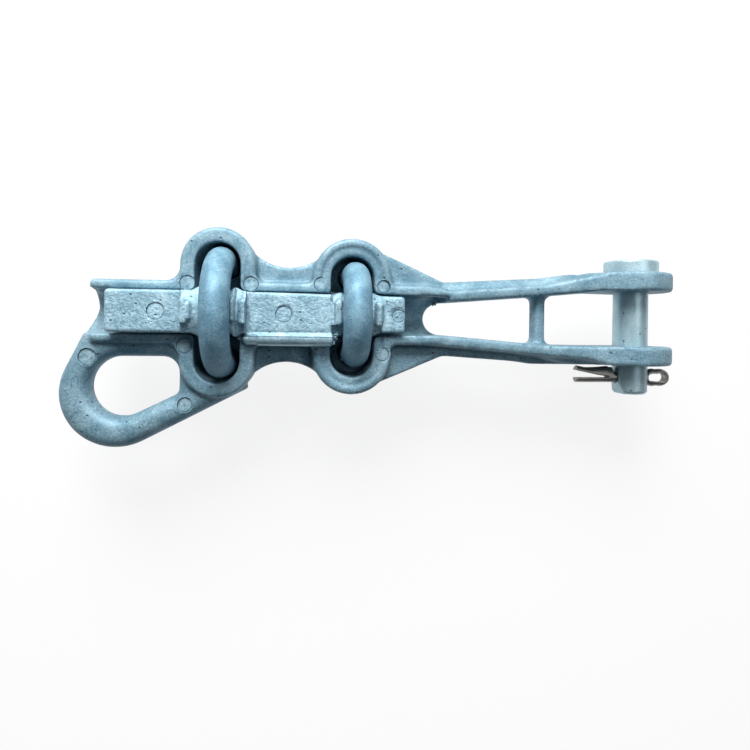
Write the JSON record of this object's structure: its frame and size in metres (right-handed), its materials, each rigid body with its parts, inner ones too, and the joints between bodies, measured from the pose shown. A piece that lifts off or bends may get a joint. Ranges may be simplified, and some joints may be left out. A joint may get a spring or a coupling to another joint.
{
  "type": "tension clamp",
  "caption": "Bolted strain clamp with conductor channel, keeper under U-bolts, tail eye and clevis with pin and split pin.",
  "frame": {"origin": "centre of the clevis pin, midway between the ears", "axes": "+X out of the clevis away from the conductor, +Y along the pin towards its head, +Z from the nuts towards the bends of the U-bolts"},
  "size_m": [0.2827, 0.0964, 0.0762],
  "materials": {
    "body_casting": "as-cast, fine grained, matt blue grey",
    "keeper_casting": "as-cast, coarse grained, brighter",
    "u_bolt_steel": "hot-dip galvanised, mottled",
    "fastener_steel": "hot-dip galvanised",
    "pin_steel": "hot-dip galvanised, light",
    "cotter_steel": "bare stainless wire"
  },
  "bodies": {
    "casting": {"body": "body_casting", "tail_left_washer": "fastener_steel", "tail_left_spring_washer": "fastener_steel", "tail_right_washer": "fastener_steel", "tail_right_spring_washer": "fastener_steel", "clevis_left_washer": "fastener_steel", "clevis_left_spring_washer": "fastener_steel", "clevis_right_washer": "fastener_steel", "clevis_right_spring_washer": "fastener_steel"},
    "keeper": {"keeper": "keeper_casting"},
    "tail_u_bolt": {"tail_u_bolt": "u_bolt_steel"},
    "clevis_u_bolt": {"clevis_u_bolt": "u_bolt_steel"},
    "clevis_pin": {"clevis_pin": "pin_steel", "cotter_pin": "cotter_steel"},
    "tail_left_nut": {"tail_left_nut": "fastener_steel"},
    "tail_right_nut": {"tail_right_nut": "fastener_steel"},
    "clevis_left_nut": {"clevis_left_nut": "fastener_steel"},
    "clevis_right_nut": {"clevis_right_nut": "fastener_steel"}
  },
  "joints": [
    {"name": "tail_left_nut_turn", "type": "hinge", "parent": "casting", "child": "tail_left_nut", "pos_m": [-0.1942, 0.0226, -0.0275], "axis": [0, 0, -1], "range_deg": [0, 2050]},
    {"name": "tail_right_nut_turn", "type": "hinge", "parent": "casting", "child": "tail_right_nut", "pos_m": [-0.1942, -0.0226, -0.0275], "axis": [0, 0, -1], "range_deg": [0, 2050]},
    {"name": "clevis_left_nut_turn", "type": "hinge", "parent": "casting", "child": "clevis_left_nut", "pos_m": [-0.1353, 0.0176, -0.0275], "axis": [0, 0, -1], "range_deg": [0, 2050]},
    {"name": "clevis_right_nut_turn", "type": "hinge", "parent": "casting", "child": "clevis_right_nut", "pos_m": [-0.1353, -0.0176, -0.0275], "axis": [0, 0, -1], "range_deg": [0, 2050]},
    {"name": "keeper_lift", "type": "slide", "parent": "casting", "child": "keeper", "axis": [0, 0, 1], "range_m": [0, 0.01]},
    {"name": "tail_u_bolt_lift", "type": "slide", "parent": "casting", "child": "tail_u_bolt", "axis": [0, 0, 1], "range_m": [0, 0.01]},
    {"name": "clevis_u_bolt_lift", "type": "slide", "parent": "casting", "child": "clevis_u_bolt", "axis": [0, 0, 1], "range_m": [0, 0.01]},
    {"name": "clevis_pin_turn", "type": "hinge", "parent": "casting", "child": "clevis_pin", "pos_m": [0, 0, 0], "axis": [0, 1, 0], "continuous": true}
  ],
  "couplings": [
    {"joint": "tail_right_nut_turn", "follows": "tail_left_nut_turn", "ratio": 1},
    {"joint": "clevis_left_nut_turn", "follows": "tail_left_nut_turn", "ratio": 1},
    {"joint": "clevis_right_nut_turn", "follows": "tail_left_nut_turn", "ratio": 1},
    {"joint": "keeper_lift", "follows": "tail_left_nut_turn", "m_per_rad": 0.00027852},
    {"joint": "tail_u_bolt_lift", "follows": "tail_left_nut_turn", "m_per_rad": 0.00027852},
    {"joint": "clevis_u_bolt_lift", "follows": "tail_left_nut_turn", "m_per_rad": 0.00027852}
  ]
}
